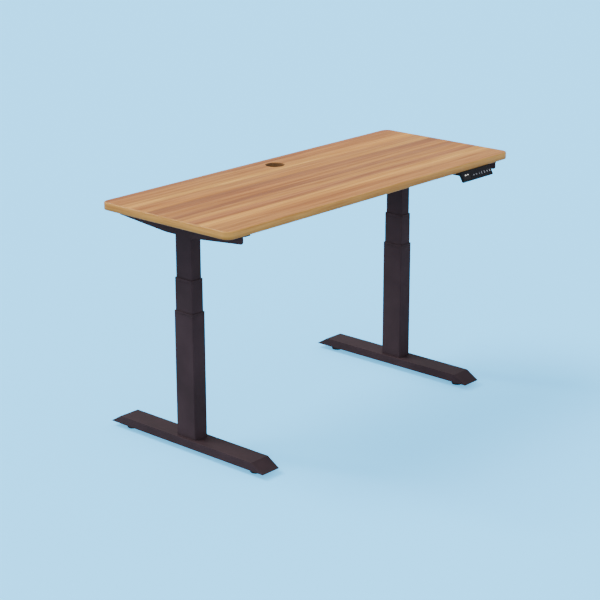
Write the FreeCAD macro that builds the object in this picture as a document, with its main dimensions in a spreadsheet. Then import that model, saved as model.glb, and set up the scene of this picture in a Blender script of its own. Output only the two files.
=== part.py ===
import FreeCAD, Part
import math
import os
import re
import Sketcher

# Height adjustable standing desk: a wooden desktop on a steel frame with two
# three-stage telescopic columns, one motor and one nested screw drive in each.
#
# Millimetres. +X is along the desktop, +Y points to its rear edge, +Z is up.
# The origin lies on the floor, in the middle of the desk's outer box.

SIZES = {
    # how far a cutting solid runs past the face that it cuts
    "past": 1,
    # desktop
    "top_length": 1400, "top_depth": 550, "top_thick": 25, "top_height": 825,
    "top_corner": 28, "top_round": 4,
    "hole_radius": 30, "hole_x": 15, "hole_from_rear": 77, "hole_round": 3,
    # legs: how far inside the brackets, and how far behind the desktop's middle
    "leg_inset": 107.5, "leg_setback": 73,
    # feet: closed boxes with slanted ends, a gap above the floor
    "foot_length": 690, "foot_width": 78, "foot_tall": 29, "foot_lift": 18,
    "foot_slant": 48, "foot_wall": 2.5, "foot_round": 1.5,
    # levelling glides
    "glide_radius": 19, "glide_tall": 13, "glide_inset": 64, "glide_chamfer": 2,
    "stud_radius": 4, "stud_top_gap": 3.5, "weld_nut_radius": 8, "weld_nut_tall": 8,
    # column tubes: the outer one's section, then a wall and a gap for each stage
    "outer_depth": 82, "outer_width": 56, "tube_wall": 1.5, "tube_gap": 1.5,
    "tube_corner": 3.5, "inner_show": 148.5,
    "collar_lip": 9, "collar_deep": 30, "slide_fit": 0.15,
    # travel of each stage from rest, and the gaps that are left at its end
    "stroke_down": 95, "stroke_up": 200, "stop_gap": 5, "end_gap": 5,
    # nested screw drive
    "plate_thick": 5, "post_radius": 16, "post_wall": 2, "lower_nut_tall": 20,
    "yoke_radius": 18, "yoke_wall": 1.3, "yoke_drop": 24, "cap_tall": 30, "cap_thread": 14,
    "hollow_radius": 10, "hollow_bore": 7, "screw_radius": 6, "run_fit": 0.05,
    "post_gap": 4, "screw_spare": 5, "screw_end_gap": 0.5,
    # column bolts through the foot
    "bolt_radius": 4, "bolt_head_radius": 6.5, "bolt_head_tall": 4, "bolt_head_slope": 1.5,
    "bolt_across": 38, "bolt_along": 62, "bolt_hole_gap": 0.5,
    # head bracket, gearbox and motor
    "head_long": 84, "head_wall": 3, "head_tall": 72, "head_top_gap": 4, "head_hole_radius": 9,
    "head_bolt_inset": 10,
    "gear_long": 76, "gear_tall": 60, "gear_side_gap": 4, "gear_round": 5, "gear_engage": 15,
    "motor_radius": 28, "motor_long": 96, "motor_cap_radius": 25, "motor_cap_long": 12,
    # rails between the side brackets
    "rail_tall": 32, "rail_width": 20, "rail_wall": 2, "rail_inside": 90,
    "rail_end_long": 300, "rail_overlap": 120, "rail_fit": 0.2, "rail_plug": 5,
    # side brackets: distances from the desktop's ends, and how deep the webs hang
    "bracket_inset": 70, "bracket_end_gap": 8, "bracket_wall": 3,
    "bracket_deep": 47, "bracket_end_deep": 27, "bracket_flat": 116, "bracket_corner": 9,
    "flange_end_gap": 2, "flange_width": 32, "flange_corner": 8,
    "flange_screw_inset": 53, "flange_screw_shift": 4,
    # screws
    "frame_bolt_radius": 3, "frame_bolt_head": 5.5, "frame_head_tall": 3,
    "wood_screw_radius": 2, "wood_screw_long": 15, "wood_screw_head": 4.5,
    "wood_head_tall": 2.5, "wood_head_slope": 1, "wood_screw_gap": 0.5,
    # control box
    "box_x": 205, "box_long": 176, "box_wide": 88, "box_tall": 32, "box_wall": 2.5,
    "box_rail_gap": 12, "box_round": 4, "lid_thick": 2, "lid_ear": 16,
    "board_thick": 1.6, "board_raise": 9, "board_gap": 1, "board_leg": 6, "board_leg_inset": 12,
    "socket_pitch": 34, "socket_wide": 22, "socket_tall": 14, "socket_deep": 14,
    "socket_mouth_wide": 17, "socket_mouth_tall": 9, "socket_mouth_deep": 11, "socket_fit": 0.3,
    # handset under the front edge
    "hand_from_end": 200, "hand_long": 164, "hand_tail": 72, "hand_tail_tall": 12,
    "hand_nose": 19.5, "hand_nose_top": 3, "hand_top_drop": 2.5, "hand_face_drop": 31,
    "hand_chin_back": 10, "hand_chin_drop": 35, "hand_back": 4,
    "hand_round": 1.2, "hand_corner": 5, "hand_wall": 2.2,
    "face_inset": 2, "face_corner": 3, "face_thick": 1.8, "face_fit": 0.1, "hand_hollow": 6,
    "display_from_end": 27, "display_wide": 38, "display_tall": 17, "display_thick": 1,
    "button_first": 61.5, "button_pitch": 15, "button_wide": 10.5, "button_tall": 12,
    "button_proud": 0.9, "button_gap": 0.25, "button_lip": 1, "button_lip_thick": 1,
    "hand_screw_pitch": 120, "hand_screw_inset": 14, "hand_screw_rim": 3,
}

# Heights, places and sections that follow from the sizes.
DERIVED = {
    "underside": "(top_height - top_thick)",
    "leg_x": "(web_x - leg_inset)",
    "leg_y": "((leg_setback + top_depth / 2 + hand_nose - foot_length / 2) / 2)",
    "top_y": "(leg_y - leg_setback)",
    "front_y": "(top_y - top_depth / 2)",
    "foot_top": "(foot_lift + foot_tall)",
    "middle_depth": "(outer_depth - 2 * tube_wall - 2 * tube_gap)",
    "middle_width": "(outer_width - 2 * tube_wall - 2 * tube_gap)",
    "inner_depth": "(middle_depth - 2 * tube_wall - 2 * tube_gap)",
    "inner_width": "(middle_width - 2 * tube_wall - 2 * tube_gap)",
    "head_base": "(underside - head_tall)",
    "middle_collar_top": "(head_base - inner_show)",
    "middle_top": "(middle_collar_top - collar_lip)",
    "outer_collar_top": "(middle_top - stroke_down - stop_gap)",
    "outer_top": "(outer_collar_top - collar_lip)",
    "middle_base": "(foot_top + plate_thick + stroke_down + end_gap)",
    "inner_base": "(middle_base + plate_thick + stroke_down + end_gap)",
    "yoke_top": "(middle_top - yoke_drop)",
    "cap_base": "(yoke_top - cap_tall)",
    "cap_seat": "(yoke_top - cap_thread)",
    "post_top": "(cap_base - stroke_down - post_gap)",
    "hollow_base": "(post_top - lower_nut_tall - stroke_up - screw_spare)",
    "hollow_top": "(cap_seat - screw_end_gap)",
    "screw_base": "(cap_seat - stroke_up - screw_spare)",
    "gear_base": "(head_base + head_wall)",
    "screw_top": "(gear_base + gear_engage - screw_end_gap)",
    "gear_width": "(rail_inside - 2 * head_wall - 2 * gear_side_gap)",
    "motor_z": "(gear_base + gear_tall / 2)",
    "glide_y": "(foot_length / 2 - glide_inset)",
    "flange_under": "(underside - bracket_wall)",
    "rail_base": "(flange_under - rail_tall)",
    "rail_middle": "(flange_under - rail_tall / 2)",
    "rail_y": "(rail_inside / 2 + rail_width / 2)",
    "web_x": "(top_length / 2 - bracket_inset)",
    "web_length": "(top_depth - 2 * bracket_end_gap)",
    "flange_x": "(web_x + bracket_wall / 2 - flange_width / 2)",
    "flange_length": "(top_depth - 2 * flange_end_gap)",
    "flange_screw_pitch": "(flange_length / 2 - flange_screw_inset)",
    "box_y": "(leg_y + rail_inside / 2 + rail_width + box_rail_gap + box_wide / 2)",
    "box_base": "(underside - lid_thick - box_tall)",
    "hand_x": "(top_length / 2 - hand_from_end)",
    "hand_hole_low": "(underside - hand_tail_tall - past)",
    "face_run": "(hand_nose - hand_nose_top)",
    "face_drop": "(hand_face_drop - hand_top_drop)",
    "face_tilt": "atan(face_run / face_drop)",
    "face_tall": "(sqrt(face_run * face_run + face_drop * face_drop))",
    "face_panel_tall": "(face_tall - 2 * face_inset)",
    "face_panel_long": "(hand_long - 2 * face_inset)",
}

DOC = FreeCAD.newDocument("StandingDesk")
SHEET = DOC.addObject("Spreadsheet::Sheet", "Sizes")
NODES = []
WORD = re.compile(r"[a-z][a-z0-9_]*")


def fill_sheet():
    for row, (name, value) in enumerate(SIZES.items(), start=1):
        SHEET.set("A%d" % row, name)
        SHEET.set("B%d" % row, str(value))
        SHEET.setAlias("B%d" % row, name)
    DOC.recompute()


def formula(text):
    """Write a formula of size names as an expression on the sheet's cells."""
    def cell(match):
        word = match.group(0)
        if word in DERIVED:
            return formula(DERIVED[word])
        return "Sizes." + word if word in SIZES else word
    return WORD.sub(cell, str(text))


def bind(thing, prop, text):
    thing.setExpression(prop, formula(text))


def place(thing, x=0, y=0, z=0):
    for axis, text in zip("xyz", (x, y, z)):
        bind(thing, "Placement.Base." + axis, text)
    return thing


def node(thing, label):
    thing.Label = label
    NODES.append(thing)
    return thing


# Part primitives and booleans ------------------------------------------------

def box(x, y, z, long, wide, tall):
    """A box centred on x and y that stands on z."""
    made = DOC.addObject("Part::Box", "Box")
    for prop, text in (("Length", long), ("Width", wide), ("Height", tall)):
        bind(made, prop, text)
    return place(made, "%s - (%s) / 2" % (x, long), "%s - (%s) / 2" % (y, wide), z)


TURNS = {"z": ((0, 0, 1), 0), "x": ((0, 1, 0), 90), "-x": ((0, 1, 0), -90)}


def rod(x, y, z, radius, tall, along="z"):
    """A cylinder that starts at a point and runs along an axis."""
    made = DOC.addObject("Part::Cylinder", "Rod")
    bind(made, "Radius", radius)
    bind(made, "Height", tall)
    axis, angle = TURNS[along]
    made.Placement.Rotation = FreeCAD.Rotation(FreeCAD.Vector(*axis), angle)
    return place(made, x, y, z)


def cone(x, y, z, radius1, radius2, tall, along="z"):
    made = DOC.addObject("Part::Cone", "Cone")
    for prop, text in (("Radius1", radius1), ("Radius2", radius2), ("Height", tall)):
        bind(made, prop, text)
    axis, angle = TURNS[along]
    made.Placement.Rotation = FreeCAD.Rotation(FreeCAD.Vector(*axis), angle)
    return place(made, x, y, z)


def fuse(*pieces):
    if len(pieces) == 1:
        return pieces[0]
    made = DOC.addObject("Part::MultiFuse", "Fuse")
    made.Shapes = list(pieces)
    made.Refine = True
    return made


def group(*pieces):
    """Separate solids that share one node."""
    made = DOC.addObject("Part::Compound", "Group")
    made.Links = list(pieces)
    return made


def cut(base, *tools):
    made = DOC.addObject("Part::Cut", "Cut")
    made.Base = base
    made.Tool = fuse(*tools)
    made.Refine = True
    return made


def round_edges(base, radius, wanted):
    """Fillet each edge whose middle and direction pass the test."""
    DOC.recompute()
    made = DOC.addObject("Part::Fillet", "Fillet")
    made.Base = base
    size = float(SIZES[radius])
    made.Edges = [(i, size, size) for i, e in enumerate(base.Shape.Edges, start=1) if wanted(e)]
    return made


def is_upright(edge):
    if not isinstance(edge.Curve, Part.Line):
        return False
    return abs(edge.Curve.Direction.z) > 0.999


# PartDesign bodies -----------------------------------------------------------

def new_body(label):
    return node(DOC.addObject("PartDesign::Body", label), label)


def sketch_on(body, plane, height=0):
    made = body.newObject("Sketcher::SketchObject", body.Name + "_sketch")
    origin = next(f for f in body.Origin.OriginFeatures if f.Role == plane)
    made.AttachmentSupport = [(origin, "")]
    made.MapMode = "FlatFace"
    bind(made, "AttachmentOffset.Base.z", height)
    return made


def size_of(sketch, kind, *points_and_text):
    """A dimension of the sketch that follows a formula."""
    *points, start, text = points_and_text
    index = sketch.addConstraint(Sketcher.Constraint(kind, *points, start))
    sketch.setExpression("Constraints[%d]" % index, formula(text))


def rounded_rectangle(sketch, wide, deep, corner):
    """A rectangle about the sketch's origin, its four corners round."""
    x, y, r = 60.0, 40.0, 4.0
    vec = FreeCAD.Vector
    ends = [(-x + r, -y, x - r, -y), (x, -y + r, x, y - r), (x - r, y, -x + r, y), (-x, y - r, -x, -y + r)]
    lines = [sketch.addGeometry(Part.LineSegment(vec(a, b, 0), vec(c, d, 0)), False) for a, b, c, d in ends]
    middles = [(x - r, -y + r, -90), (x - r, y - r, 0), (-x + r, y - r, 90), (-x + r, -y + r, 180)]
    arcs = []
    for a, b, turn in middles:
        circle = Part.Circle(vec(a, b, 0), vec(0, 0, 1), r)
        low, high = math.radians(turn), math.radians(turn + 90)
        arcs.append(sketch.addGeometry(Part.ArcOfCircle(circle, low, high), False))
    for i in range(4):
        sketch.addConstraint(Sketcher.Constraint("Tangent", lines[i], 2, arcs[i], 1))
        sketch.addConstraint(Sketcher.Constraint("Tangent", arcs[i], 2, lines[(i + 1) % 4], 1))
    for i in range(3):
        sketch.addConstraint(Sketcher.Constraint("Equal", arcs[i], arcs[i + 1]))
    for i, kind in ((0, "Horizontal"), (1, "Vertical"), (2, "Horizontal"), (3, "Vertical")):
        sketch.addConstraint(Sketcher.Constraint(kind, lines[i]))
    sketch.addConstraint(Sketcher.Constraint("Symmetric", arcs[3], 3, arcs[1], 3, -1, 1))
    size_of(sketch, "Radius", arcs[0], r, corner)
    size_of(sketch, "DistanceX", arcs[3], 3, arcs[0], 3, 2 * (x - r), "%s - 2 * (%s)" % (wide, corner))
    size_of(sketch, "DistanceY", arcs[0], 3, arcs[1], 3, 2 * (y - r), "%s - 2 * (%s)" % (deep, corner))


def outline(sketch, points):
    """A closed outline of straight lines through points that follow formulas."""
    guess = FreeCAD.Vector
    count = len(points)
    lines = []
    for i, ((x, y, _, _), (x2, y2, _, _)) in enumerate(zip(points, points[1:] + points[:1])):
        lines.append(sketch.addGeometry(Part.LineSegment(guess(x, y, 0), guess(x2, y2, 0)), False))
    for i in range(count):
        sketch.addConstraint(Sketcher.Constraint("Coincident", lines[i - 1], 2, lines[i], 1))
    for i, (x, y, x_text, y_text) in enumerate(points):
        size_of(sketch, "DistanceX", -1, 1, lines[i], 1, float(x), x_text)
        size_of(sketch, "DistanceY", -1, 1, lines[i], 1, float(y), y_text)


def ring(sketch, radius):
    circle = sketch.addGeometry(Part.Circle(FreeCAD.Vector(0, 0, 0), FreeCAD.Vector(0, 0, 1), 9.0), False)
    sketch.addConstraint(Sketcher.Constraint("Coincident", circle, 3, -1, 1))
    size_of(sketch, "Radius", circle, 9.0, radius)


def pad(body, sketch, length, middle=False):
    made = body.newObject("PartDesign::Pad", body.Name + "_pad")
    made.Profile = sketch
    made.SideType = "Symmetric" if middle else "One side"
    bind(made, "Length", length)
    body.Tip = made
    return made


def pocket(body, sketch, length, middle=False):
    made = body.newObject("PartDesign::Pocket", body.Name + "_pocket")
    made.Profile = sketch
    made.SideType = "Symmetric" if middle else "One side"
    made.Reversed = not middle
    bind(made, "Length", length)
    body.Tip = made
    return made


def dress(body, kind, size, wanted):
    """Fillet or chamfer the body's edges that pass the test."""
    DOC.recompute()
    base = body.Tip
    names = ["Edge%d" % i for i, e in enumerate(base.Shape.Edges, start=1) if wanted(e)]
    made = body.newObject("PartDesign::" + kind, body.Name + "_" + kind.lower())
    made.Base = (base, names)
    bind(made, "Radius" if kind == "Fillet" else "Size", size)
    body.Tip = made
    return made


def tube(label, x, wide, deep, base, top):
    """A welded steel tube of a column, with round corners."""
    body = new_body(label)
    place(body, x, "leg_y", 0)
    outside = sketch_on(body, "XY_Plane", base)
    rounded_rectangle(outside, wide, deep, "tube_corner")
    pad(body, outside, "%s - %s" % (top, base))
    inside = sketch_on(body, "XY_Plane", base)
    rounded_rectangle(inside, wide + " - 2 * tube_wall", deep + " - 2 * tube_wall",
                      "tube_corner - tube_wall")
    pocket(body, inside, "%s - %s" % (top, base))


# One leg ---------------------------------------------------------------------

GLIDES = (("front", "-1"), ("rear", "1"))


def foot_outline(wall):
    """Side view of the foot, or of the space inside its wall."""
    slope = "sqrt(1 + foot_slant * foot_slant / (foot_tall * foot_tall))"
    low = "foot_length / 2 - (%s) * (%s + foot_slant / foot_tall)" % (wall, slope)
    high = "foot_length / 2 - foot_slant - (%s) * (%s - foot_slant / foot_tall)" % (wall, slope)
    floor, roof = "foot_lift + " + wall, "foot_top - (%s)" % wall
    return [(-330, 20, "-(%s)" % low, floor), (330, 20, low, floor),
            (290, 45, high, roof), (-290, 45, "-(%s)" % high, roof)]


def foot(side, x):
    body = new_body(side + "_foot_shell")
    NODES.remove(body)
    place(body, x, "leg_y", 0)
    outside = sketch_on(body, "YZ_Plane")
    outline(outside, foot_outline("0"))
    pad(body, outside, "foot_width", middle=True)
    dress(body, "Fillet", "foot_round", is_foot_edge)
    inside = sketch_on(body, "YZ_Plane")
    outline(inside, foot_outline("foot_wall"))
    pocket(body, inside, "foot_width - 2 * foot_wall", middle=True)
    nuts, holes = [], []
    for _, sign in GLIDES:
        y = "leg_y + (%s) * glide_y" % sign
        nuts.append(rod(x, y, "foot_lift", "weld_nut_radius", "foot_wall + weld_nut_tall"))
        holes.append(rod(x, y, "foot_lift - past", "stud_radius + run_fit",
                         "foot_wall + weld_nut_tall + 2 * past"))
    for bx, by in bolt_places(x):
        holes.append(rod(bx, by, "foot_lift - past", "bolt_radius + bolt_hole_gap", "foot_tall + 2 * past"))
    node(cut(fuse(body, *nuts), *holes), side + "_foot")


def is_foot_edge(edge):
    """Every edge but the sharp tips, which would lose their length to a fillet."""
    across = isinstance(edge.Curve, Part.Line) and abs(edge.Curve.Direction.x) > 0.999
    return not (across and edge.CenterOfMass.z < SIZES["foot_lift"] + SIZES["foot_wall"])


def bolt_places(x):
    signs = ((-1, -1), (1, -1), (1, 1), (-1, 1))
    return [("%s + (%d) * bolt_across / 2" % (x, a), "leg_y + (%d) * bolt_along / 2" % b) for a, b in signs]


def glide(side, x, end, sign):
    y = "leg_y + (%s) * glide_y" % sign
    disc = fuse(
        rod(x, y, "glide_chamfer", "glide_radius", "glide_tall - 2 * glide_chamfer"),
        cone(x, y, 0, "glide_radius - glide_chamfer", "glide_radius", "glide_chamfer"),
        cone(x, y, "glide_tall - glide_chamfer", "glide_radius", "glide_radius - glide_chamfer",
             "glide_chamfer"),
        rod(x, y, "glide_tall", "stud_radius", "foot_top - foot_wall - stud_top_gap - glide_tall"))
    node(disc, "%s_%s_glide" % (side, end))


def base_post(side, x):
    """The plate welded into the outer tube, with the guide post of the lower nut."""
    plate = box(x, "leg_y", "foot_top", "outer_width - 2 * tube_wall", "outer_depth - 2 * tube_wall",
                "plate_thick")
    plate = round_edges(plate, "tube_corner", is_upright)
    post = rod(x, "leg_y", "foot_top + plate_thick", "post_radius", "post_top - foot_top - plate_thick")
    bore = rod(x, "leg_y", "foot_top + plate_thick", "post_radius - post_wall", "post_top")
    holes = [rod(bx, by, "foot_top", "bolt_radius", "plate_thick") for bx, by in bolt_places(x)]
    node(cut(fuse(plate, post), bore, *holes), side + "_base_post")
    nut = rod(x, "leg_y", "post_top - lower_nut_tall", "post_radius - post_wall", "lower_nut_tall")
    hole = rod(x, "leg_y", "post_top - lower_nut_tall - past", "hollow_radius + run_fit",
               "lower_nut_tall + 2 * past")
    node(cut(nut, hole), side + "_lower_nut")


def foot_bolts(side, x):
    bolts = []
    for bx, by in bolt_places(x):
        head = cone(bx, by, "foot_lift - bolt_head_tall", "bolt_head_radius - bolt_head_slope",
                    "bolt_head_radius", "bolt_head_tall")
        shank = rod(bx, by, "foot_lift", "bolt_radius", "foot_tall + plate_thick")
        bolts.append(fuse(head, shank))
    node(group(*bolts), side + "_foot_bolts")


def collar(label, x, wide, deep, top):
    """The plastic guide in a tube's mouth: a sleeve inside it and a lip on top."""
    body = new_body(label)
    place(body, x, "leg_y", 0)
    sleeve = sketch_on(body, "XY_Plane", top + " - collar_deep")
    rounded_rectangle(sleeve, wide + " - 2 * tube_wall", deep + " - 2 * tube_wall",
                      "tube_corner - tube_wall")
    pad(body, sleeve, "collar_deep")
    lip = sketch_on(body, "XY_Plane", top)
    rounded_rectangle(lip, wide, deep, "tube_corner")
    pad(body, lip, "collar_lip")
    room = "2 * (tube_wall + tube_gap - slide_fit)"
    mouth = sketch_on(body, "XY_Plane", top + " - collar_deep")
    rounded_rectangle(mouth, "%s - %s" % (wide, room), "%s - %s" % (deep, room), "tube_corner")
    pocket(body, mouth, "collar_deep + collar_lip")


def middle_yoke(side, x):
    """The middle tube's bottom plate, with the tall sleeve that holds the upper nut."""
    wide, deep = "middle_width - 2 * tube_wall", "middle_depth - 2 * tube_wall"
    plate = box(x, "leg_y", "middle_base", wide, deep, "plate_thick")
    plate = round_edges(plate, "tube_corner", is_upright)
    sleeve = rod(x, "leg_y", "middle_base", "yoke_radius", "yoke_top - middle_base")
    bore = rod(x, "leg_y", "middle_base - past", "yoke_radius - yoke_wall",
               "yoke_top - middle_base + 2 * past")
    node(cut(fuse(plate, sleeve), bore), side + "_middle_yoke")
    cap = rod(x, "leg_y", "cap_base", "yoke_radius - yoke_wall", "cap_tall")
    seat = rod(x, "leg_y", "cap_base - past", "hollow_radius + run_fit", "cap_seat - cap_base + past")
    thread = rod(x, "leg_y", "cap_seat - past", "screw_radius + run_fit", "cap_thread + 2 * past")
    node(cut(cap, seat, thread), side + "_upper_nut")


def screws(side, x):
    shell = rod(x, "leg_y", "hollow_base", "hollow_radius", "hollow_top - hollow_base")
    bore = rod(x, "leg_y", "hollow_base - past", "hollow_bore", "hollow_top - hollow_base + 2 * past")
    node(cut(shell, bore), side + "_hollow_screw")
    node(rod(x, "leg_y", "screw_base", "screw_radius", "screw_top - screw_base"), side + "_inner_screw")


def head(side, x):
    """The channel on top of the inner tube, which holds the gearbox between the rails."""
    low = box(x, "leg_y", "head_base", "head_long", "rail_inside", "head_wall")
    tall = "head_tall - head_top_gap"
    cheeks = [box(x, "leg_y + (%d) * (rail_inside - head_wall) / 2" % sign, "head_base",
                  "head_long", "head_wall", tall) for sign in (-1, 1)]
    holes = [rod(x, "leg_y", "head_base - past", "head_hole_radius", "head_wall + 2 * past")]
    holes += [cheek_rod(bx, "leg_y + (%d) * rail_inside / 2" % sign, sign)
              for bx in head_bolt_places(x) for sign in (-1, 1)]
    node(cut(fuse(low, *cheeks), *holes), side + "_head")


def head_bolt_places(x):
    return ["%s + (%d) * (head_long / 2 - head_bolt_inset)" % (x, sign) for sign in (-1, 1)]


def cheek_rod(x, y, sign, radius="frame_bolt_radius", tall="head_wall"):
    """A rod along Y that starts on a cheek's outer face and runs inwards."""
    made = DOC.addObject("Part::Cylinder", "Rod")
    bind(made, "Radius", radius)
    bind(made, "Height", tall)
    made.Placement.Rotation = FreeCAD.Rotation(FreeCAD.Vector(1, 0, 0), 90 * sign)
    return place(made, x, y, "rail_middle")


def gearbox(side, x, inwards):
    case = box(x, "leg_y", "gear_base", "gear_long", "gear_width", "gear_tall")
    case = round_edges(case, "gear_round", lambda e: isinstance(e.Curve, Part.Line))
    bore = rod(x, "leg_y", "gear_base - past", "screw_radius + run_fit", "gear_engage + past")
    node(cut(case, bore), side + "_gearbox")
    along = "x" if inwards > 0 else "-x"
    start = "%s + (%d) * gear_long / 2" % (x, inwards)
    end = "%s + (%d) * (gear_long / 2 + motor_long)" % (x, inwards)
    motor = fuse(rod(start, "leg_y", "motor_z", "motor_radius", "motor_long", along),
                 rod(end, "leg_y", "motor_z", "motor_cap_radius", "motor_cap_long", along))
    node(motor, side + "_motor")


def leg(side, x, inwards):
    foot(side, x)
    for end, sign in GLIDES:
        glide(side, x, end, sign)
    tube(side + "_column_outer", x, "outer_width", "outer_depth", "foot_top", "outer_top")
    tube(side + "_column_middle", x, "middle_width", "middle_depth", "middle_base", "middle_top")
    tube(side + "_column_inner", x, "inner_width", "inner_depth", "inner_base", "head_base")
    collar(side + "_outer_collar", x, "outer_width", "outer_depth", "outer_top")
    collar(side + "_middle_collar", x, "middle_width", "middle_depth", "middle_top")
    base_post(side, x)
    foot_bolts(side, x)
    middle_yoke(side, x)
    screws(side, x)
    head(side, x)
    gearbox(side, x, inwards)


# Frame under the desktop -----------------------------------------------------

SIDES = (("left", -1), ("right", 1))
RAILS = ("leg_y - rail_y", "leg_y + rail_y")


def side_bracket(side, sign):
    """A tapered web that hangs under the desktop's end, and its screw flange."""
    body = new_body(side + "_bracket_plate")
    NODES.remove(body)
    place(body, "%d * web_x" % sign, "top_y", 0)
    half, flat = "web_length / 2", "bracket_flat / 2"
    low, lower = "underside - bracket_end_deep", "underside - bracket_deep"
    web = sketch_on(body, "YZ_Plane")
    outline(web, [(-267, 800, "-(%s)" % half, "underside"), (-267, 773, "-(%s)" % half, low),
                  (-58, 753, "-(%s)" % flat, lower), (58, 753, flat, lower),
                  (267, 773, half, low), (267, 800, half, "underside")])
    pad(body, web, "bracket_wall", middle=True)
    dress(body, "Fillet", "bracket_corner", is_web_corner)
    flange = sketch_on(body, "XY_Plane", "flange_under")
    bind(flange, "AttachmentOffset.Base.x", "%d * (flange_x - web_x)" % sign)
    rounded_rectangle(flange, "flange_width", "flange_length", "flange_corner")
    pad(body, flange, "bracket_wall")
    holes = [rod(sx, sy, "flange_under - past", "wood_screw_radius + wood_screw_gap",
                 "bracket_wall + 2 * past") for sx, sy in flange_screw_places(sign)]
    for y in RAILS:
        holes.append(web_cone(sign, y))
    node(cut(body, *holes), side + "_bracket")


def is_web_corner(edge):
    """The web's two lower end corners, which run along X low under the flange."""
    if not isinstance(edge.Curve, Part.Line) or abs(edge.Curve.Direction.x) < 0.999:
        return False
    middle = edge.CenterOfMass
    below = SIZES["top_height"] - SIZES["top_thick"] - middle.z
    beyond = abs(middle.y) - SIZES["bracket_flat"] / 2
    return below > SIZES["bracket_wall"] and beyond > SIZES["bracket_corner"]


def flange_screw_places(sign):
    """One near each end of the flange, and one between the rails."""
    x = "%d * (flange_x - flange_screw_shift)" % sign
    return [(x, y) for y in ("top_y - flange_screw_pitch", "leg_y", "top_y + flange_screw_pitch")]


def web_cone(sign, y):
    """The countersunk head of a rail bolt, flush with the web's outer face."""
    along = "-x" if sign > 0 else "x"
    start = "%d * (web_x + bracket_wall / 2)" % sign
    return cone(start, y, "rail_middle", "frame_bolt_head", "frame_bolt_radius", "bracket_wall", along)


def rail_tubes(label, start, end, wide, tall, plug):
    """Two box tubes side by side; a plug closes the end that meets a web."""
    tubes = []
    for y in RAILS:
        long = "(%s) - (%s)" % (end, start)
        middle = "((%s) + (%s)) / 2" % (end, start)
        base = "rail_middle - (%s) / 2" % tall
        outside = box(middle, y, base, long, wide, tall)
        inside = box(middle, y, base + " + rail_wall", long, wide + " - 2 * rail_wall",
                     tall + " - 2 * rail_wall")
        made = cut(outside, inside)
        if plug:
            holes = [head_shank(x, 1 if y == RAILS[1] else -1)
                     for x in head_bolt_places("%d * leg_x" % plug)]
            made = cut(fuse(made, rail_plug(y, plug)), web_bolt_hole(y, plug), *holes)
        tubes.append(made)
    node(group(*tubes), label)


def rail_plug(y, sign):
    middle = "%d * (web_x - bracket_wall / 2 - rail_plug / 2)" % sign
    return box(middle, y, "rail_base", "rail_plug", "rail_width", "rail_tall")


def web_bolt_hole(y, sign):
    along = "-x" if sign > 0 else "x"
    start = "%d * (web_x - bracket_wall / 2)" % sign
    return rod(start, y, "rail_middle", "frame_bolt_radius", "rail_plug", along)


def rails():
    reach = "web_x - bracket_wall / 2"
    inner = reach + " - rail_end_long"
    rail_tubes("left_rail_ends", "-(%s)" % reach, "-(%s)" % inner, "rail_width", "rail_tall", -1)
    rail_tubes("right_rail_ends", inner, reach, "rail_width", "rail_tall", 1)
    slim = " - 2 * rail_wall - 2 * rail_fit"
    rail_tubes("rail_centres", "-(%s + rail_overlap)" % inner, inner + " + rail_overlap",
               "rail_width" + slim, "rail_tall" + slim, 0)


def frame_bolts():
    """Countersunk bolts into the rails' ends, and bolts from the heads into the rails."""
    bolts = []
    for _, sign in SIDES:
        for y in RAILS:
            bolts.append(fuse(web_cone(sign, y), web_bolt_hole(y, sign)))
        for bx in head_bolt_places("%d * leg_x" % sign):
            for turn in (-1, 1):
                bolts.append(head_bolt(bx, turn))
    node(group(*bolts), "frame_bolts")


def head_bolt(x, turn):
    """A bolt through a cheek into the rail beside it, its head inside the channel."""
    head_y = "leg_y + (%d) * (rail_inside / 2 - head_wall)" % turn
    return fuse(head_shank(x, turn), cheek_rod(x, head_y, turn, "frame_bolt_head", "frame_head_tall"))


def head_shank(x, turn):
    start = "leg_y + (%d) * (rail_inside / 2 + rail_wall)" % turn
    return cheek_rod(x, start, turn, "frame_bolt_radius", "head_wall + rail_wall")


def wood_screw(x, y, under):
    """A pan-head screw from below into the desktop."""
    head_low = "%s - wood_head_tall" % under
    head_narrow = "wood_screw_head - wood_head_slope"
    return fuse(cone(x, y, head_low, head_narrow, "wood_screw_head", "wood_head_tall"),
                rod(x, y, under, "wood_screw_radius", "underside + wood_screw_long - (%s)" % under))


def desktop_screws():
    made = [wood_screw(x, y, "flange_under") for _, sign in SIDES for x, y in flange_screw_places(sign)]
    node(group(*made), "desktop_screws")


def desktop():
    body = new_body("desktop_board")
    NODES.remove(body)
    place(body, 0, "top_y", 0)
    board = sketch_on(body, "XY_Plane", "underside")
    rounded_rectangle(board, "top_length", "top_depth", "top_corner")
    pad(body, board, "top_thick")
    hole = sketch_on(body, "XY_Plane", "underside")
    bind(hole, "AttachmentOffset.Base.x", "hole_x")
    bind(hole, "AttachmentOffset.Base.y", "top_depth / 2 - hole_from_rear")
    ring(hole, "hole_radius")
    pocket(body, hole, "top_thick")
    dress(body, "Fillet", "hole_round", is_hole_rim)
    dress(body, "Fillet", "top_round", is_board_rim)
    places = [place for _, sign in SIDES for place in flange_screw_places(sign)]
    places += lid_screw_places() + hand_screw_places()
    pilots = [rod(x, y, "underside - past", "wood_screw_radius", "wood_screw_long + past") for x, y in places]
    node(cut(body, *pilots), "desktop")


def is_hole_rim(edge):
    return isinstance(edge.Curve, Part.Circle) and abs(edge.Curve.Radius - SIZES["hole_radius"]) < 0.01


def is_board_rim(edge):
    """One edge of each rim is enough, since the fillet follows the smooth outline."""
    if not isinstance(edge.Curve, Part.Line) or abs(edge.Curve.Direction.x) < 0.999:
        return False
    return edge.CenterOfMass.y < SIZES["top_depth"] and edge.Length > SIZES["top_length"] / 2


# Control box -----------------------------------------------------------------

SOCKETS = ("-1.5", "-0.5", "0.5", "1.5")


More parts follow.
